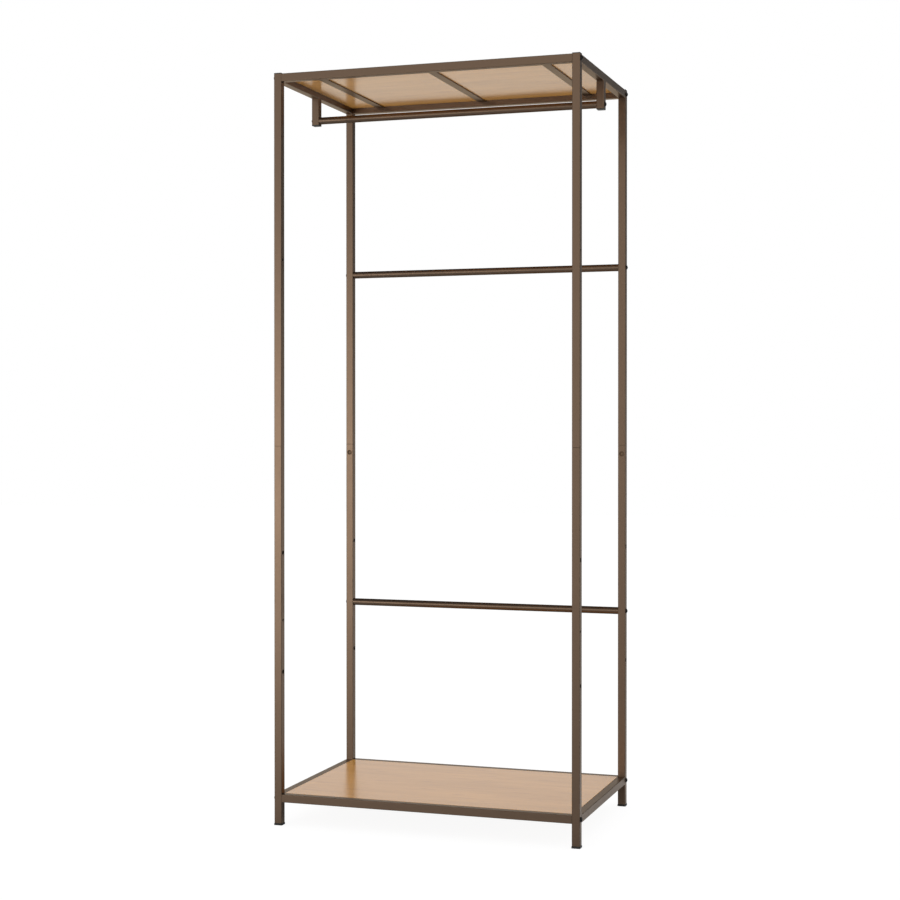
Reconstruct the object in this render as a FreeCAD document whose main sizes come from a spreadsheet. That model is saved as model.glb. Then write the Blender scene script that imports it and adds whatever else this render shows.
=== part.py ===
import FreeCAD, Part
import math
import os
import re
import Sketcher

# Driving sizes in millimetres. Heights are above the floor, widths run left to right along X and
# depths front to back along Y, with the front at -Y.
SIZES = {
    # Whole frame, measured over the posts' outer faces and to the top of the post caps
    "frame_width": 762,
    "frame_depth": 488,
    "overall_height": 1822,
    # Square steel tube of the posts, rails and rod brackets
    "tube_side": 19,
    "tube_wall": 1.2,
    "tube_corner_radius": 1.2,
    "tube_bore_radius": 0.8,
    # Posts: the seam between the halves with its eased edges, and the heights of the bar bolts and
    # the spare holes
    "post_seam_height": 919,
    "seam_edge_radius": 0.5,
    "upper_bar_height": 1371,
    "spare_hole_high_height": 661,
    "lower_bar_height": 497,
    "spare_hole_low_height": 372,
    "spare_hole_diameter": 11,
    # Sleeve inside each post, and the short bolt that locks it below the seam
    "joiner_length": 120,
    "joiner_wall": 1.2,
    "joiner_clearance": 0.1,
    "joint_bolt_drop": 22,
    "joint_bolt_reach": 3,
    # Plastic end pieces: top caps, feet and bracket caps
    "plug_clearance": 0.1,
    "cap_height": 2,
    "cap_edge_radius": 0.6,
    "cap_bolt_gap": 1,
    "foot_flange_height": 5,
    "foot_flange_overhang": 1,
    "foot_plug_length": 18,
    # Bottom frame, and the boards set into both frames
    "bottom_rail_clearance": 56,
    "top_panel_thickness": 5,
    "shelf_thickness": 5,
    "board_clearance": 0.5,
    "board_corner_radius": 1,
    # Flat bars under the boards, from the front rail to the rear rail. The outer two stand in from
    # the side rails' inner faces by the inset, measured to the middle of the bar.
    "crossbar_width": 20,
    "crossbar_thickness": 3,
    "crossbar_edge_radius": 0.5,
    "crossbar_inset": 80,
    # Round tubes: the two rear bars, and the hanging rod between its brackets. The rod's axis is
    # the drop below the top side rails, and the brackets reach past it.
    "bar_diameter": 18,
    "bar_wall": 1.2,
    "rod_diameter": 18,
    "rod_wall": 1.2,
    "rod_drop": 56,
    "bracket_below_rod": 11,
    # Dome-headed bolts, and the threaded inserts that take them
    "bolt_diameter": 6,
    "bolt_hole_clearance": 0.5,
    "bolt_engagement": 12,
    "bolt_head_diameter": 12,
    "bolt_head_height": 4,
    "bolt_rim_height": 1,
    "bolt_socket_flats": 4,
    "bolt_socket_depth": 2,
    "insert_length": 16,
    "thread_clearance": 0.1,
}

# Sizes that follow from the driving ones
BORE_SIDE = "(tube_side - 2 * tube_wall)"
PLUG_SIDE = "(tube_side - 2 * tube_wall - 2 * plug_clearance)"
JOINER_SIDE = "(tube_side - 2 * tube_wall - 2 * joiner_clearance)"
BOLT_HOLE = "(bolt_diameter + 2 * bolt_hole_clearance)"
THREAD_BORE = "(bolt_diameter + 2 * thread_clearance)"
POST_X = "(frame_width - tube_side) / 2"
POST_Y = "(frame_depth - tube_side) / 2"
INNER_WIDTH = "(frame_width - 2 * tube_side)"
INNER_DEPTH = "(frame_depth - 2 * tube_side)"
RAIL_TOP = "(overall_height - cap_height)"
TOP_RAIL_AXIS = "(overall_height - cap_height - tube_side / 2)"
BOTTOM_RAIL_AXIS = "(bottom_rail_clearance + tube_side / 2)"
SHELF_TOP = "(bottom_rail_clearance + tube_side)"
CROSSBAR_X = "((frame_width - 2 * tube_side) / 2 - crossbar_inset)"
BRACKET_LENGTH = "(rod_drop + bracket_below_rod)"
BRACKET_FOOT = "(overall_height - cap_height - tube_side - rod_drop - bracket_below_rod)"
ROD_AXIS = "(overall_height - cap_height - tube_side - rod_drop)"
JOINT_BOLT_HEIGHT = "(post_seam_height - joint_bolt_drop)"

# Sign of each side along X and of each end along Y
SIDES = {"left": "-1", "right": "1"}
ENDS = {"front": "-1", "rear": "1"}

UP = FreeCAD.Vector(0, 0, 1)
UPRIGHT = FreeCAD.Rotation()
HALF_TURN = FreeCAD.Rotation(UP, 180)
FACING = {
    "left": FreeCAD.Rotation(UP, FreeCAD.Vector(-1, 0, 0)),
    "right": FreeCAD.Rotation(UP, FreeCAD.Vector(1, 0, 0)),
    "front": FreeCAD.Rotation(UP, FreeCAD.Vector(0, -1, 0)),
    "rear": FreeCAD.Rotation(UP, FreeCAD.Vector(0, 1, 0)),
}

# Plane of a tube's section and whether its pad is turned round to grow along the positive axis
SECTION_PLANES = {"X": ("YZ_Plane", False), "Y": ("XZ_Plane", True), "Z": ("XY_Plane", False)}

doc = FreeCAD.newDocument("OpenFrameWardrobe")
sheet = doc.addObject("Spreadsheet::Sheet", "Sizes")
for row, (alias, millimetres) in enumerate(SIZES.items(), start=1):
    sheet.set(f"A{row}", alias)
    sheet.set(f"B{row}", str(millimetres))
    sheet.setAlias(f"B{row}", alias)
doc.recompute()

parts = []


def formula(text):
    """Expression of the document in which each size is the sheet's cell of that alias."""
    return re.sub("[a-z_]+", lambda word: f"Sizes.{word[0]}" if word[0] in SIZES else word[0], text)


def number(text):
    return float(sheet.evalExpression(formula(text)))


def bind(thing, field, text):
    thing.setExpression(field, formula(text))


def place(thing, x, y, z, rotation=UPRIGHT):
    thing.Placement = FreeCAD.Placement(FreeCAD.Vector(), rotation)
    for letter, text in zip("xyz", (x, y, z)):
        bind(thing, f"Placement.Base.{letter}", text)


def new_body(label):
    body = doc.addObject("PartDesign::Body", label)
    body.Label = label
    return body


def new_sketch(body, name, role, lift=None):
    sketch = body.newObject("Sketcher::SketchObject", f"{body.Name}_{name}")
    plane = next(item for item in body.Origin.OriginFeatures if item.Role == role)
    sketch.AttachmentSupport = (plane, [""])
    sketch.MapMode = "FlatFace"
    if lift:
        bind(sketch, "AttachmentOffset.Base.z", lift)
    return sketch


def tie(sketch, *constraint):
    return sketch.addConstraint(Sketcher.Constraint(*constraint))


def dimension(sketch, name, text, *constraint):
    sketch.renameConstraint(tie(sketch, *constraint, number(text)), name)
    bind(sketch, f"Constraints.{name}", text)


def rounded_rectangle(sketch, name, across, along, radius):
    """Rectangle with arc corners, centred on the sketch's origin."""
    corner = number(radius)
    spread = (number(across) / 2 - corner, number(along) / 2 - corner)
    centres = [FreeCAD.Vector(sx * spread[0], sy * spread[1], 0)
               for sx, sy in ((1, -1), (1, 1), (-1, 1), (-1, -1))]
    sides = []
    arcs = []
    for turn, centre in enumerate(centres):
        start = (turn - 1) * math.pi / 2
        arc = Part.ArcOfCircle(Part.Circle(centre, UP, corner), start, start + math.pi / 2)
        arcs.append(sketch.addGeometry(arc))
    for turn, centre in enumerate(centres):
        outward = FreeCAD.Vector(math.cos(turn * math.pi / 2), math.sin(turn * math.pi / 2), 0) * corner
        following = centres[(turn + 1) % len(centres)]
        sides.append(sketch.addGeometry(Part.LineSegment(centre + outward, following + outward)))
    for turn, side in enumerate(sides):
        tie(sketch, "Tangent", arcs[turn], 2, side, 1)
        tie(sketch, "Tangent", side, 2, arcs[(turn + 1) % len(arcs)], 1)
        tie(sketch, "Horizontal" if turn % 2 else "Vertical", side)
    for arc in arcs[1:]:
        tie(sketch, "Equal", arcs[0], arc)
    tie(sketch, "Symmetric", arcs[0], 3, arcs[2], 3, -1, 1)
    dimension(sketch, f"{name}_radius", radius, "Radius", arcs[0])
    dimension(sketch, f"{name}_across", across, "DistanceX", sides[2], 1, sides[0], 1)
    dimension(sketch, f"{name}_along", along, "DistanceY", sides[3], 1, sides[1], 1)


def circle(sketch, name, diameter, height=None):
    """Circle on the sketch's origin, or on its vertical axis at a height."""
    middle = FreeCAD.Vector(0, number(height) if height else 0, 0)
    round_edge = sketch.addGeometry(Part.Circle(middle, UP, number(diameter) / 2))
    dimension(sketch, f"{name}_diameter", diameter, "Diameter", round_edge)
    if height:
        tie(sketch, "PointOnObject", round_edge, 3, -2)
        dimension(sketch, f"{name}_height", height, "DistanceY", -1, 1, round_edge, 3)
    else:
        tie(sketch, "Coincident", round_edge, 3, -1, 1)


def hexagon(sketch, name, flats):
    """Regular hexagon about the sketch's origin, held by a construction circle through its corners."""
    across_corners = f"{flats} / cos(30 deg)"
    reach = number(across_corners) / 2
    ring = sketch.addGeometry(Part.Circle(FreeCAD.Vector(), UP, reach), True)
    tie(sketch, "Coincident", ring, 3, -1, 1)
    turns = [step * math.pi / 3 for step in range(6)]
    corners = [FreeCAD.Vector(math.cos(turn), math.sin(turn), 0) * reach for turn in turns]
    sides = [sketch.addGeometry(Part.LineSegment(corner, corners[(step + 1) % len(corners)]))
             for step, corner in enumerate(corners)]
    for step, side in enumerate(sides):
        tie(sketch, "Coincident", side, 2, sides[(step + 1) % len(sides)], 1)
        tie(sketch, "PointOnObject", side, 1, ring)
    for side in sides[1:]:
        tie(sketch, "Equal", sides[0], side)
    tie(sketch, "PointOnObject", sides[0], 1, -1)
    dimension(sketch, f"{name}_across_corners", across_corners, "Diameter", ring)


def pad(body, sketch, length, backwards=False):
    feature = body.newObject("PartDesign::Pad", f"{sketch.Name}_pad")
    feature.Profile = sketch
    feature.Reversed = backwards
    bind(feature, "Length", length)
    doc.recompute()
    return feature


def pocket(body, sketch, side, depth=None):
    """Cut through everything on the stated side, or to a depth, which has to take material away."""
    volume = body.Shape.Volume
    feature = body.newObject("PartDesign::Pocket", f"{sketch.Name}_pocket")
    feature.Profile = sketch
    feature.SideType = side
    feature.Type = "Length" if depth else "ThroughAll"
    if depth:
        bind(feature, "Length", depth)
    doc.recompute()
    if not body.Shape.Volume < volume:
        raise RuntimeError(f"{feature.Name} removes nothing")
    return feature


def ease_end(body, choose, kind, field, size):
    """Fillet or chamfer round the outside of the highest or the lowest face, chosen by max or min."""
    base = body.Tip
    end_face = choose(base.Shape.Faces, key=lambda face: face.CenterOfGravity.z)
    rim = end_face.OuterWire.Edges
    names = [f"Edge{index}" for index, edge in enumerate(base.Shape.Edges, start=1)
             if any(edge.isSame(rim_edge) for rim_edge in rim)]
    feature = body.newObject(kind, f"{body.Name}_eased")
    feature.Base = (base, names)
    bind(feature, field, size)
    doc.recompute()


def square_tube(label, axis, length):
    """Tube along an axis, its section centred on the body's origin at its start."""
    body = new_body(label)
    role, backwards = SECTION_PLANES[axis]
    section = new_sketch(body, "section", role)
    rounded_rectangle(section, "outer", "tube_side", "tube_side", "tube_corner_radius")
    rounded_rectangle(section, "bore", BORE_SIDE, BORE_SIDE, "tube_bore_radius")
    pad(body, section, length, backwards)
    return body


def side_holes(body, holes, base):
    """Holes of stated heights and diameters right through a standing tube, from left to right."""
    drilling = new_sketch(body, "side_holes", "YZ_Plane")
    for index, (height, diameter) in enumerate(holes.items()):
        circle(drilling, f"hole{index}", diameter, f"{height} - {base}")
    pocket(body, drilling, "Symmetric")


def round_tube(label, diameter, wall):
    """Tube between the posts along X."""
    body = new_body(label)
    section = new_sketch(body, "section", "YZ_Plane")
    circle(section, "outer", diameter)
    circle(section, "bore", f"{diameter} - 2 * {wall}")
    pad(body, section, INNER_WIDTH)
    return body


def flat_board(label, across, along, thickness):
    body = new_body(label)
    outline = new_sketch(body, "outline", "XY_Plane")
    rounded_rectangle(outline, "edge", across, along, "board_corner_radius")
    pad(body, outline, thickness)
    return body


def crossbar(label):
    """Flat bar along Y, its section centred on the body's origin at its start."""
    body = new_body(label)
    section = new_sketch(body, "section", "XZ_Plane")
    rounded_rectangle(section, "edge", "crossbar_width", "crossbar_thickness", "crossbar_edge_radius")
    pad(body, section, INNER_DEPTH, True)
    return body


def tube_plug(body, length, lift, downwards):
    """Square plug that fits a tube's bore."""
    section = new_sketch(body, "plug", "XY_Plane", lift)
    rounded_rectangle(section, "plug", PLUG_SIDE, PLUG_SIDE, "tube_bore_radius")
    pad(body, section, length, downwards)


def end_cap(label, plug_length):
    """Cap with its flange above the body's origin and its plug below."""
    body = new_body(label)
    flange = new_sketch(body, "flange", "XY_Plane")
    rounded_rectangle(flange, "flange", "tube_side", "tube_side", "tube_corner_radius")
    pad(body, flange, "cap_height")
    ease_end(body, max, "PartDesign::Fillet", "Radius", "cap_edge_radius")
    tube_plug(body, plug_length, "0", True)
    return body


def foot(label):
    """Foot with its flange on the floor and its plug above, flared down from the tube's width."""
    body = new_body(label)
    flange = new_sketch(body, "flange", "XY_Plane")
    flange_side = "tube_side + 2 * foot_flange_overhang"
    flange_radius = "tube_corner_radius + foot_flange_overhang"
    rounded_rectangle(flange, "flange", flange_side, flange_side, flange_radius)
    pad(body, flange, "foot_flange_height")
    ease_end(body, max, "PartDesign::Chamfer", "Size", "foot_flange_overhang")
    tube_plug(body, "foot_plug_length", "foot_flange_height", False)
    return body


def dome_bolt(label, shank_length):
    """Dome-headed bolt along Z, seated at its origin with the head above and a hexagon socket."""
    body = new_body(label)
    profile = new_sketch(body, "profile", "XZ_Plane")
    head_radius = "bolt_head_diameter / 2"
    shank_radius = "bolt_diameter / 2"
    head, rim, top = number(head_radius), number("bolt_rim_height"), number("bolt_head_height")
    shank, length = number(shank_radius), number(shank_length)
    dome_radius = (head ** 2 + (top - rim) ** 2) / (2 * (top - rim))
    dome_middle = FreeCAD.Vector(0, top - dome_radius, 0)
    dome_start = math.atan2(rim - dome_middle.y, head)
    points = [FreeCAD.Vector(x, y, 0) for x, y in
              ((0, top), (0, -length), (shank, -length), (shank, 0), (head, 0), (head, rim))]
    lines = [profile.addGeometry(Part.LineSegment(first, second))
             for first, second in zip(points, points[1:])]
    core, end, side, seat, edge = lines
    dome_circle = Part.Circle(dome_middle, UP, dome_radius)
    dome = profile.addGeometry(Part.ArcOfCircle(dome_circle, dome_start, math.pi / 2))
    for first, second in zip(lines, lines[1:] + [dome]):
        tie(profile, "Coincident", first, 2, second, 1)
    tie(profile, "Coincident", dome, 2, core, 1)
    for upright in (core, side, edge):
        tie(profile, "Vertical", upright)
    for level in (end, seat):
        tie(profile, "Horizontal", level)
    tie(profile, "PointOnObject", core, 1, -2)
    tie(profile, "PointOnObject", dome, 3, -2)
    tie(profile, "PointOnObject", seat, 1, -1)
    dimension(profile, "head_radius", head_radius, "DistanceX", -1, 1, edge, 1)
    dimension(profile, "rim_height", "bolt_rim_height", "DistanceY", edge, 1, edge, 2)
    dimension(profile, "head_height", "bolt_head_height", "DistanceY", -1, 1, core, 1)
    dimension(profile, "shank_radius", shank_radius, "DistanceX", -1, 1, side, 1)
    dimension(profile, "shank_length", shank_length, "DistanceY", side, 1, -1, 1)
    turned = body.newObject("PartDesign::Revolution", f"{label}_turned")
    turned.Profile = profile
    turned.ReferenceAxis = (profile, ["V_Axis"])
    doc.recompute()
    socket = new_sketch(body, "socket", "XY_Plane", "bolt_head_height")
    hexagon(socket, "socket", "bolt_socket_flats")
    pocket(body, socket, "One side", "bolt_socket_depth")
    return body


def insert(label, shape_section):
    """Threaded insert along Z, from its outer end at the body's origin downwards."""
    body = new_body(label)
    section = new_sketch(body, "section", "XY_Plane")
    shape_section(section)
    circle(section, "thread", THREAD_BORE)
    pad(body, section, "insert_length", True)
    return body


def group(label, pattern, spots):
    """One node of separate copies of a pattern piece, each at its spot and facing."""
    copies = []
    for index, (x, y, z, rotation) in enumerate(spots, start=1):
        copy = doc.addObject("App::Link", f"{label}_{index}")
        copy.LinkedObject = pattern
        place(copy, x, y, z, rotation)
        copies.append(copy)
    whole = doc.addObject("Part::Compound", label)
    whole.Label = label
    whole.Links = copies
    parts.append(whole)


# Posts: an upper and a lower tube at each corner, a sleeve across the seam, a cap and a foot
for end, end_sign in ENDS.items():
    for side, side_sign in SIDES.items():
        corner = f"{end}_{side}"
        x = f"{side_sign} * {POST_X}"
        y = f"{end_sign} * {POST_Y}"
        inward = UPRIGHT if end == "front" else HALF_TURN

        upper = square_tube(f"post_upper_{corner}", "Z", f"{RAIL_TOP} - post_seam_height")
        ease_end(upper, min, "PartDesign::Fillet", "Radius", "seam_edge_radius")
        upper_holes = {"upper_bar_height": BOLT_HOLE, TOP_RAIL_AXIS: BOLT_HOLE}
        side_holes(upper, upper_holes, "post_seam_height")
        place(upper, x, y, "post_seam_height", inward)

        lower = square_tube(f"post_lower_{corner}", "Z", "post_seam_height - foot_flange_height")
        ease_end(lower, max, "PartDesign::Fillet", "Radius", "seam_edge_radius")
        lower_holes = {
            BOTTOM_RAIL_AXIS: BOLT_HOLE,
            "spare_hole_low_height": "spare_hole_diameter",
            "lower_bar_height": BOLT_HOLE,
            "spare_hole_high_height": "spare_hole_diameter",
        }
        side_holes(lower, lower_holes, "foot_flange_height")
        lock = new_sketch(lower, "lock_hole", "XZ_Plane")
        circle(lock, "lock", BOLT_HOLE, f"{JOINT_BOLT_HEIGHT} - foot_flange_height")
        pocket(lower, lock, "One side")
        place(lower, x, y, "foot_flange_height", inward)

        joiner = new_body(f"post_joiner_{corner}")
        sleeve = new_sketch(joiner, "section", "XY_Plane")
        joiner_bore = f"({JOINER_SIDE} - 2 * joiner_wall)"
        rounded_rectangle(sleeve, "outer", JOINER_SIDE, JOINER_SIDE, "tube_corner_radius")
        rounded_rectangle(sleeve, "bore", joiner_bore, joiner_bore, "tube_bore_radius")
        pad(joiner, sleeve, "joiner_length")
        lock = new_sketch(joiner, "lock_hole", "XZ_Plane")
        circle(lock, "lock", THREAD_BORE, "joiner_length / 2 - joint_bolt_drop")
        pocket(joiner, lock, "One side")
        place(joiner, x, y, "post_seam_height - joiner_length / 2", inward)

        cap = end_cap(f"post_cap_{corner}", f"(tube_side - {BOLT_HOLE}) / 2 - cap_bolt_gap")
        place(cap, x, y, RAIL_TOP)
        glide = foot(f"foot_{corner}")
        place(glide, x, y, "0")
        parts += [upper, lower, joiner, cap, glide]

# Top and bottom frames: rails between the posts, flat crossbars, and a board set flush inside
LEVELS = {
    "top": (TOP_RAIL_AXIS, RAIL_TOP, "top_panel_thickness"),
    "bottom": (BOTTOM_RAIL_AXIS, SHELF_TOP, "shelf_thickness"),
}
for level, (rail_axis, board_top, thickness) in LEVELS.items():
    for end, end_sign in ENDS.items():
        rail = square_tube(f"{level}_rail_{end}", "X", INNER_WIDTH)
        place(rail, f"-{INNER_WIDTH} / 2", f"{end_sign} * {POST_Y}", rail_axis)
        parts.append(rail)
    for side, side_sign in SIDES.items():
        rail = square_tube(f"{level}_rail_{side}", "Y", INNER_DEPTH)
        place(rail, f"{side_sign} * {POST_X}", f"-{INNER_DEPTH} / 2", rail_axis)
        parts.append(rail)
    for name, sign in {"left": "-1", "centre": "0", "right": "1"}.items():
        bar = crossbar(f"{level}_crossbar_{name}")
        bar_axis = f"{board_top} - {thickness} - crossbar_thickness / 2"
        place(bar, f"{sign} * {CROSSBAR_X}", f"-{INNER_DEPTH} / 2", bar_axis)
        parts.append(bar)

BOARD_SIZE = (f"{INNER_WIDTH} - 2 * board_clearance", f"{INNER_DEPTH} - 2 * board_clearance")
top_panel = flat_board("top_panel", *BOARD_SIZE, "top_panel_thickness")
place(top_panel, "0", "0", f"{RAIL_TOP} - top_panel_thickness")
bottom_shelf = flat_board("bottom_shelf", *BOARD_SIZE, "shelf_thickness")
place(bottom_shelf, "0", "0", f"{SHELF_TOP} - shelf_thickness")
parts += [top_panel, bottom_shelf]

# Rear bars between the rear posts, and the hanging rod between its brackets
BAR_HEIGHTS = {"upper": "upper_bar_height", "lower": "lower_bar_height"}
for name, height in BAR_HEIGHTS.items():
    bar = round_tube(f"rear_bar_{name}", "bar_diameter", "bar_wall")
    place(bar, f"-{INNER_WIDTH} / 2", POST_Y, height)
    parts.append(bar)
rod = round_tube("hanging_rod", "rod_diameter", "rod_wall")
place(rod, f"-{INNER_WIDTH} / 2", "0", ROD_AXIS)
parts.append(rod)

# Rod brackets: a short tube under the middle of each top side rail, closed by a cap below
for side, side_sign in SIDES.items():
    bracket = square_tube(f"rod_bracket_{side}", "Z", BRACKET_LENGTH)
    side_holes(bracket, {ROD_AXIS: BOLT_HOLE}, BRACKET_FOOT)
    place(bracket, f"{side_sign} * {POST_X}", "0", BRACKET_FOOT)
    parts.append(bracket)
bracket_cap = end_cap("bracket_cap_pattern", f"bracket_below_rod - {BOLT_HOLE} / 2 - cap_bolt_gap")
upside_down = FreeCAD.Rotation(FreeCAD.Vector(1, 0, 0), 180)
group("rod_bracket_caps", bracket_cap,
      [(f"{sign} * {POST_X}", "0", BRACKET_FOOT, upside_down) for sign in SIDES.values()])

# Dome-headed bolts through the posts and brackets, and the inserts in the tube ends that take them
bolt = dome_bolt("bolt_pattern", "tube_side + bolt_engagement")
square_insert = insert("square_insert_pattern", lambda section: rounded_rectangle(
    section, "plug", PLUG_SIDE, PLUG_SIDE, "tube_bore_radius"))
bar_insert = insert("bar_insert_pattern", lambda section: circle(
    section, "plug", "bar_diameter - 2 * bar_wall - 2 * plug_clearance"))
rod_insert = insert("rod_insert_pattern", lambda section: circle(
    section, "plug", "rod_diameter - 2 * rod_wall - 2 * plug_clearance"))
FRONT_AND_REAR = [f"{sign} * {POST_Y}" for sign in ENDS.values()]
JOINTS = {
    "top_frame": ([(y, TOP_RAIL_AXIS) for y in FRONT_AND_REAR], square_insert),
    "bottom_frame": ([(y, BOTTOM_RAIL_AXIS) for y in FRONT_AND_REAR], square_insert),
    "rear_bar": ([(POST_Y, height) for height in BAR_HEIGHTS.values()], bar_insert),
    "hanging_rod": ([("0", ROD_AXIS)], rod_insert),
}
for name, (lines, plug) in JOINTS.items():
    for label, pattern, reach in (("bolts", bolt, "frame_width"), ("inserts", plug, INNER_WIDTH)):
        spots = [(f"{sign} * {reach} / 2", y, z, FACING[side])
                 for y, z in lines for side, sign in SIDES.items()]
        group(f"{name}_{label}", pattern, spots)

# Short bolts that lock the posts' sleeves, on the posts' inward faces
SLEEVE_GRIP = "tube_wall + joiner_clearance + joiner_wall + joint_bolt_reach"
short_bolt = dome_bolt("short_bolt_pattern", SLEEVE_GRIP)
INWARD_FACE = "(frame_depth / 2 - tube_side)"
INWARD = {"front": FACING["rear"], "rear": FACING["front"]}
group("post_joint_bolts", short_bolt,
      [(f"{side_sign} * {POST_X}", f"{end_sign} * {INWARD_FACE}", JOINT_BOLT_HEIGHT, INWARD[end])
       for end, end_sign in ENDS.items() for side_sign in SIDES.values()])

doc.recompute()
for item in doc.Objects:
    if {"Invalid", "Error"} & set(item.State):
        raise RuntimeError(f"{item.Label} failed: {item.State}")
for part in parts:
    if part.Shape.isNull() or not part.Shape.isValid():
        raise RuntimeError(f"{part.Label} has no valid shape")

os.makedirs("parts", exist_ok=True)
for part in parts:
    part.Shape.exportStep(f"parts/{part.Label}.step")
    print(part.Label, len(part.Shape.Solids), round(part.Shape.Volume, 1), part.Shape.BoundBox)
print(len(parts), "nodes")
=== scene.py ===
import math

import bpy
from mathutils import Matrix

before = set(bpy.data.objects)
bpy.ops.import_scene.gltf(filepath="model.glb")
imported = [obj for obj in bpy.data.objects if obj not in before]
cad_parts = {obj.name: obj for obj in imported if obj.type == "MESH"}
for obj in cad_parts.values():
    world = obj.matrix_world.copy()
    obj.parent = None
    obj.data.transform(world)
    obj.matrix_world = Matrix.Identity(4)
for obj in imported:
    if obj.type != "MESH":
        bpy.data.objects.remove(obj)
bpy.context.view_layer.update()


# The four posts. Each is a lower and an upper length of 19 mm square steel tube, and the whole
# frame is powder coated in one bronze brown with fine metal flake in it. Inside the tubes and
# their drilled holes the steel is bare, and its colour there is painted near black as painted shade.
class Lead:
    """A lead from a node's output socket. Arithmetic on leads adds Math nodes to their tree."""

    def __init__(self, tree, socket=None):
        self.tree = tree
        self.socket = socket

    def node(self, kind, settings=None, sockets=None, output=0):
        """Adds a node, sets its settings and then its sockets, and gives the lead from one output."""
        made = self.tree.nodes.new(kind)
        for name, setting in (settings or {}).items():
            setattr(made, name, setting)
        for name, value in (sockets or {}).items():
            if isinstance(value, Lead):
                self.tree.links.new(value.socket, made.inputs[name])
            else:
                made.inputs[name].default_value = value
        return Lead(self.tree, made.outputs[output]) if made.outputs else None

    def maths(self, operation, first, second=0.0):
        """A Math node on one or two values."""
        return self.node("ShaderNodeMath", {"operation": operation}, {0: first, 1: second})

    def __add__(self, other):
        return self.maths("ADD", self, other)

    def __radd__(self, other):
        return self.maths("ADD", other, self)

    def __sub__(self, other):
        return self.maths("SUBTRACT", self, other)

    def __rsub__(self, other):
        return self.maths("SUBTRACT", other, self)

    def __mul__(self, other):
        return self.maths("MULTIPLY", self, other)

    def __rmul__(self, other):
        return self.maths("MULTIPLY", other, self)

    def __abs__(self):
        return self.maths("ABSOLUTE", self)

    def or_more(self, other):
        """This value or the other, whichever is larger."""
        return self.maths("MAXIMUM", self, other)

    def rise(self, low, high):
        """0 up to low, 1 from high on, and a smooth rise between them."""
        return self.node(
            "ShaderNodeMapRange",
            {"interpolation_type": "SMOOTHSTEP"},
            {"Value": self, "From Min": low, "From Max": high},
        )

    def tint(self, first, second):
        """The colour that goes from first to second as this value goes from 0 to 1."""
        return self.node("ShaderNodeMix", {"data_type": "RGBA"}, {0: self, 6: first, 7: second}, 2)

    def axis(self, letter):
        """One of these coordinates, by its letter."""
        return self.node("ShaderNodeSeparateXYZ", {}, {"Vector": self}, letter)

    def stretched(self, along_x, along_y, along_z):
        """These coordinates times a number for each axis."""
        return self.node(
            "ShaderNodeVectorMath", {"operation": "MULTIPLY"}, {0: self, 1: (along_x, along_y, along_z)}
        )

    def noise(self, scale=1.0, detail=2.0):
        """Soft noise over these coordinates, about 0.5 on average."""
        return self.node(
            "ShaderNodeTexNoise", {}, {"Vector": self, "Scale": scale, "Detail": detail}, "Fac"
        )

    def grains(self, scale):
        """Small cells over these coordinates, each with a value of its own from 0 to 1."""
        colour = self.node("ShaderNodeTexVoronoi", {}, {"Vector": self, "Scale": scale}, "Color")
        return self.node("ShaderNodeSeparateColor", {}, {"Color": colour}, "Red")


def new_finish(name):
    """An empty material, with a lead to build on and the place on the object in metres."""
    material = bpy.data.materials.new(name)
    material.use_nodes = True
    material.node_tree.nodes.clear()
    start = Lead(material.node_tree)
    return material, start, start.node("ShaderNodeTexCoord", output="Object")


def close_finish(start, height, bump, **surface):
    """The surface shader with its bump in metres, joined to the material's output."""
    normal = start.node("ShaderNodeBump", {}, {"Strength": 1.0, "Distance": bump, "Height": height})
    sockets = {name.replace("_", " "): value for name, value in surface.items()}
    shader = start.node("ShaderNodeBsdfPrincipled", {}, {"Normal": normal, **sockets})
    start.node("ShaderNodeOutputMaterial", {}, {"Surface": shader})


def give(material, *names):
    """Gives CAD pieces a finish."""
    for name in names:
        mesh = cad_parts[name].data
        mesh.materials.clear()
        mesh.materials.append(material)


CORNERS = ("front_left", "front_right", "rear_left", "rear_right")
POST_AXIS_X = 0.3715
POST_AXIS_Y = 0.2345
HOLE_SHADE_FADES_FROM = 0.0091
HOLE_SHADE_GONE_AT = 0.0094

bronze_dark = (0.175, 0.121, 0.087, 1.0)
bronze_light = (0.214, 0.149, 0.107, 1.0)
bronze_glint = (0.78, 0.72, 0.64, 1.0)
bare_steel_and_shade = (0.012, 0.010, 0.009, 1.0)
bronze_paint, start, place = new_finish("bronze_powder_coat")
clouds = place.noise(scale=9.0, detail=3.0)
flake = place.grains(scale=2400.0)
peel = place.noise(scale=520.0)
coat = (0.5 * clouds + 0.5 * flake).tint(bronze_dark, bronze_light)
# Within 9.1 mm of a post's axis, inside the tube and in its hole walls, the colour fades to near black:
# painted shade on steel that is bare there.
from_axis_x = abs(abs(place.axis("X")) - POST_AXIS_X)
from_axis_y = abs(abs(place.axis("Y")) - POST_AXIS_Y)
bare_and_shaded = 1 - from_axis_x.or_more(from_axis_y).rise(HOLE_SHADE_FADES_FROM, HOLE_SHADE_GONE_AT)
close_finish(
    start,
    height=peel,
    bump=0.00006,
    Base_Color=bare_and_shaded.tint(coat, bare_steel_and_shade),
    Roughness=0.30 + 0.08 * clouds + 0.06 * flake,
    Metallic=0.95,
    Specular_Tint=bronze_glint,
)
for corner in CORNERS:
    give(bronze_paint, "post_lower_" + corner, "post_upper_" + corner)


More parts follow.
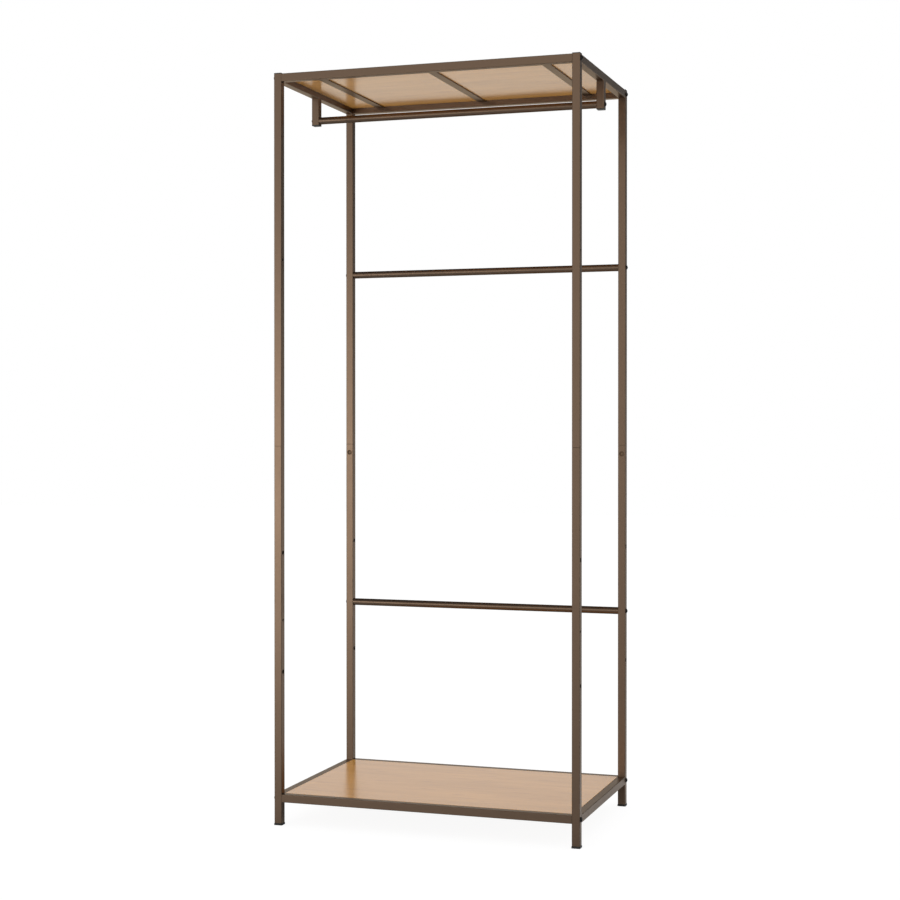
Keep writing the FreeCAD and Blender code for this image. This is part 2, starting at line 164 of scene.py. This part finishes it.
# The joiners, one inside each post across the seam. Each is a short sleeve of bright zinc-plated
# steel, a close slide fit in both lengths and held by a dome-headed bolt.
zinc_dull = (0.42, 0.43, 0.45, 1.0)
zinc_bright = (0.62, 0.63, 0.64, 1.0)
zinc_plate, start, place = new_finish("zinc_plate")
spangle = place.grains(scale=350.0)
drawn = place.stretched(1.0, 1.0, 0.05).noise(scale=1800.0)
close_finish(
    start,
    height=drawn,
    bump=0.00002,
    Base_Color=(0.7 * spangle + 0.3 * drawn).tint(zinc_dull, zinc_bright),
    Roughness=0.26 + 0.16 * spangle,
    Metallic=1.0,
)
for corner in CORNERS:
    give(zinc_plate, "post_joiner_" + corner)


# The bottom and top frames: rails of the same tube between the posts, and three flat steel bars
# across each frame that carry its board. All of it is coated with the posts.
for side in ("front", "rear", "left", "right"):
    give(bronze_paint, "bottom_rail_" + side, "top_rail_" + side)
for third in ("left", "centre", "right"):
    give(bronze_paint, "bottom_crossbar_" + third, "top_crossbar_" + third)


# The bottom shelf and the top panel: 5 mm boards dropped inside the rails on the flat bars. Each
# face is a glossy laminate with a warm tan wood print, its grain along the width.
GRAIN_SWAY = 0.03
tan_deep = (0.488, 0.232, 0.050, 1.0)
tan_pale = (0.588, 0.288, 0.068, 1.0)
fleck_brown = (0.370, 0.155, 0.036, 1.0)
laminate, start, place = new_finish("tan_wood_laminate")
wave = place.stretched(1.2, 9.0, 9.0).noise()
bend = start.node("ShaderNodeCombineXYZ", {}, {"Y": GRAIN_SWAY * wave})
along = start.node("ShaderNodeVectorMath", {"operation": "ADD"}, {0: place, 1: bend})
bands = along.stretched(3.0, 22.0, 22.0).noise()
fibres = along.stretched(9.0, 420.0, 420.0).noise(detail=3.0)
streaks = along.stretched(11.0, 90.0, 90.0).noise(detail=1.0).rise(0.58, 0.70)
flecks = along.stretched(38.0, 170.0, 170.0).noise(detail=1.0).rise(0.68, 0.76)
wood = (0.80 * bands + 0.20 * fibres).rise(0.25, 0.75).tint(tan_deep, tan_pale)
close_finish(
    start,
    height=fibres,
    bump=0.00002,
    Base_Color=(0.35 * streaks + 0.4 * flecks).tint(wood, fleck_brown),
    Roughness=0.20 + 0.06 * fibres,
)
give(laminate, "bottom_shelf", "top_panel")


# The rear bars, the hanging rod and the two brackets that carry the rod. Round and square steel
# tube in the same coat; the brackets are welded under the side rails and the rest is bolted.
give(bronze_paint, "rear_bar_upper", "rear_bar_lower", "hanging_rod")
give(bronze_paint, "rod_bracket_left", "rod_bracket_right")


# The feet, post caps and bracket caps: black plastic plugs pressed into the open tube ends, with
# the fine spark texture of their mould.
plastic_black = (0.012, 0.012, 0.012, 1.0)
plastic_grey = (0.030, 0.029, 0.028, 1.0)
black_plastic, start, place = new_finish("moulded_black_plastic")
spark = place.noise(scale=1500.0, detail=3.0)
scuffs = place.noise(scale=60.0, detail=3.0)
close_finish(
    start,
    height=spark,
    bump=0.00008,
    Base_Color=(0.6 * scuffs + 0.4 * spark).tint(plastic_black, plastic_grey),
    Roughness=0.42 + 0.2 * scuffs,
)
for corner in CORNERS:
    give(black_plastic, "foot_" + corner, "post_cap_" + corner)
give(black_plastic, "rod_bracket_caps")


# The dome-headed bolts that pull the rails, the bars and the rod against the posts and brackets.
# They are steel with a black oxide finish, and each has a hexagon socket for its key.
oxide_dark = (0.012, 0.011, 0.010, 1.0)
oxide_worn = (0.045, 0.042, 0.040, 1.0)
black_oxide, start, place = new_finish("black_oxide_steel")
mottle = place.noise(scale=700.0, detail=3.0)
close_finish(
    start,
    height=mottle,
    bump=0.00003,
    Base_Color=mottle.rise(0.4, 0.75).tint(oxide_dark, oxide_worn),
    Roughness=0.36 + 0.18 * mottle,
    Metallic=0.55,
)
give(black_oxide, "top_frame_bolts", "bottom_frame_bolts", "rear_bar_bolts", "hanging_rod_bolts")


# The joint bolts: one short dome-headed bolt below the seam of each post, which locks its joiner.
# They are brown like the frame, in a duller coat that the key has rubbed.
dull_dark = (0.225, 0.155, 0.104, 1.0)
dull_light = (0.305, 0.210, 0.140, 1.0)
dull_bronze, start, place = new_finish("dull_bronze_coat")
rubbing = place.noise(scale=300.0, detail=3.0)
close_finish(
    start,
    height=rubbing,
    bump=0.00003,
    Base_Color=rubbing.rise(0.3, 0.7).tint(dull_dark, dull_light),
    Roughness=0.46 + 0.1 * rubbing,
    Metallic=0.95,
    Specular_Tint=bronze_glint,
)
give(dull_bronze, "post_joint_bolts")


# The inserts: threaded plugs of the same plated steel as the joiners, fixed in the ends of the
# rails, the rear bars and the rod for the bolts to pull against.
give(zinc_plate, "top_frame_inserts", "bottom_frame_inserts")
give(zinc_plate, "rear_bar_inserts", "hanging_rod_inserts")


# The floor: one wide pale sheet, which the camera sees near white with the object's shadow on it.
# The coat mirrors a painted shadow on it, a dark sheet under the shelf, and beyond that the room
# around.
FLOOR_HALF = 14.0
OBJECT_HALF_WIDTH = 0.381
OBJECT_HALF_DEPTH = 0.244
PAINTED_SHADOW_FULL = -0.12
PAINTED_SHADOW_ENDS = 0.10
PAINTED_SHADOW_SLOPE_FRONT = 0.3
floor_mesh = bpy.data.meshes.new("floor")
floor_mesh.from_pydata(
    [
        (-FLOOR_HALF, -FLOOR_HALF, 0.0),
        (FLOOR_HALF, -FLOOR_HALF, 0.0),
        (FLOOR_HALF, FLOOR_HALF, 0.0),
        (-FLOOR_HALF, FLOOR_HALF, 0.0),
    ],
    [],
    [(0, 1, 2, 3)],
)
floor = bpy.data.objects.new("floor", floor_mesh)
bpy.context.scene.collection.objects.link(floor)

card_grey = (0.80, 0.80, 0.80, 1.0)
shade_grey = (0.12, 0.12, 0.12, 1.0)
glow_white = (0.925, 0.925, 0.925, 1.0)
painted_shadow_grey = (0.02, 0.02, 0.02, 1.0)
pale_floor, start, place = new_finish("pale_floor")
camera_ray = start.node("ShaderNodeLightPath", output="Is Camera Ray")
glossy_ray = start.node("ShaderNodeLightPath", output="Is Glossy Ray")
card = start.node("ShaderNodeBsdfDiffuse", {}, {"Color": card_grey})
shaded = start.node("ShaderNodeBsdfDiffuse", {}, {"Color": shade_grey})
glow = start.node("ShaderNodeEmission", {}, {"Color": glow_white})
sheet = start.node("ShaderNodeAddShader", {}, {0: shaded, 1: glow})
# A near-black sheet that only glossy rays see, under the shelf and a little past it: painted shadow for
# the coat to mirror.
painted_shadow = start.node("ShaderNodeBsdfDiffuse", {}, {"Color": painted_shadow_grey})
clear = start.node("ShaderNodeBsdfTransparent")
past_side = abs(place.axis("X")) - OBJECT_HALF_WIDTH
past_front = PAINTED_SHADOW_SLOPE_FRONT * (abs(place.axis("Y")) - OBJECT_HALF_DEPTH)
painted_shadow_mask = 1 - past_side.or_more(past_front).rise(PAINTED_SHADOW_FULL, PAINTED_SHADOW_ENDS)
mirrored_floor = start.node("ShaderNodeMixShader", {}, {0: painted_shadow_mask, 1: clear, 2: painted_shadow})
lit_floor = start.node("ShaderNodeMixShader", {}, {0: glossy_ray, 1: card, 2: mirrored_floor})
seen_floor = start.node("ShaderNodeMixShader", {}, {0: camera_ray, 1: lit_floor, 2: sheet})
start.node("ShaderNodeOutputMaterial", {}, {"Surface": seen_floor})
floor_mesh.materials.append(pale_floor)


# The room around: even white light from all sides, white for the camera too. Only the glossy
# faces mirror its walls, which are pale up to about the camera's height and dark above, with a
# brighter stretch to the right behind the object.
EVEN_LIGHT = 0.92
world = bpy.data.worlds.new("studio")
bpy.context.scene.world = world
world.use_nodes = True
world.node_tree.nodes.clear()
start = Lead(world.node_tree)
way = start.node("ShaderNodeTexCoord", output="Generated")
across = way.axis("X")
height = way.axis("Z")
drop = 0 - height
behind = way.axis("Y").rise(-0.35, 0.35)
camera_ray = start.node("ShaderNodeLightPath", output="Is Camera Ray")
glossy_ray = start.node("ShaderNodeLightPath", output="Is Glossy Ray")


def blend(mask, off, on):
    """The value off where the mask is 0, and on where it is 1."""
    return mask * on + (1 - mask) * off


# Behind the object: the far left wall, then the near wall with its left and right stretches.
far_wall = 0.95 * (1 - height.rise(0.36, 0.50))
far_left = 1 - across.rise(-0.22, -0.10)
left_wall = 0.84 - 0.04 * height.rise(-0.05, 0.05)
side = abs(across).rise(0.24, 0.38)
side_wall = (0.34 + 1.26 * side) * (1 - 0.92 * side * drop.rise(0.08, 0.22))
wall_foot = 1.75 * (1 - across.rise(0.22, 0.33)) * drop.rise(0.16, 0.22)
right_wall = (side_wall + wall_foot) * (1 - 0.25 * across.rise(0.37, 0.44))
pale_wall = blend(across.rise(-0.15, 0.20), left_wall, right_wall)
dark_wall = 0.03 + 0.68 * across.rise(0.10, 0.20) * (1 - across.rise(0.26, 0.33))
wall_edge = (height + 0.03 * side).rise(-0.02, 0.11)
rear_room = blend(far_left, blend(wall_edge, pale_wall, dark_wall), far_wall)

# In front of it: the open room, brighter above the camera's height and to the right.
rightward = across.rise(-0.40, -0.26)
upper_room = (0.24 + 0.34 * rightward) * height.rise(-0.12, 0.12)
ceiling = 1 - 0.85 * height.rise(0.30, 0.60)
skirting = 1 - 0.5 * drop.rise(0.16, 0.30) * (1 - drop.rise(0.36, 0.50))
front_room = (0.42 + 0.03 * rightward + upper_room) * ceiling * skirting

# Both together, darker straight below and far to the left, a little warm or cool by place.
below = 1 - (0.10 + 0.75 * behind) * drop.rise(0.32, 0.65)
left_end = 1 - 0.9 * (0.18 * behind - across).rise(0.60, 0.88)
mirrored_room = blend(behind, front_room, rear_room) * below * left_end
strength = blend(camera_ray, blend(glossy_ray, EVEN_LIGHT, mirrored_room), 1.0)

plain_white = (1.0, 1.0, 1.0, 1.0)
warm_white = (1.05, 0.99, 0.89, 1.0)
cool_white = (0.88, 1.0, 1.19, 1.0)
warm_front = (1 - behind) * rightward * height.rise(-0.25, 0.05)
warm_rear = behind * (1 - across.rise(-0.05, 0.15)) * drop.rise(-0.02, 0.10)
cool_rear = behind * across.rise(0.05, 0.20) * (1 - 0.7 * across.rise(0.28, 0.40))
warmed = (glossy_ray * (warm_front + warm_rear)).tint(plain_white, warm_white)
room_white = (glossy_ray * cool_rear).tint(warmed, cool_white)
sky = start.node("ShaderNodeBackground", {}, {"Color": room_white, "Strength": strength})
start.node("ShaderNodeOutputWorld", {}, {"Surface": sky})


# The softbox: one warm square lamp on a stand to the left of the camera and below its height. It
# gives the left posts their bright middle.
softbox = bpy.data.lights.new("softbox", "AREA")
softbox.shape = "RECTANGLE"
softbox.size = 1.3
softbox.size_y = 1.4
softbox.energy = 24.5
softbox.color = (1.0, 0.95, 0.86)
softbox_stand = bpy.data.objects.new("softbox", softbox)
softbox_stand.location = (-2.3, -4.1, 0.70)
softbox_stand.rotation_euler = (math.radians(90), 0.0, math.radians(-31))
bpy.context.scene.collection.objects.link(softbox_stand)


# The camera, at the photograph's height and distance, a little to the right of the front. Its
# lens is shifted only as far as the photograph's framing needs.
lens = bpy.data.cameras.new("camera")
lens.sensor_width = 36.0
lens.lens = 69.944
lens.shift_y = -0.01584
camera = bpy.data.objects.new("camera", lens)
camera.location = (1.36274, -4.12868, 0.97279)
camera.rotation_euler = (math.radians(89.616), 0.0, math.radians(18.432))
bpy.context.scene.collection.objects.link(camera)
bpy.context.scene.camera = camera
bpy.context.scene.view_settings.view_transform = "Standard"
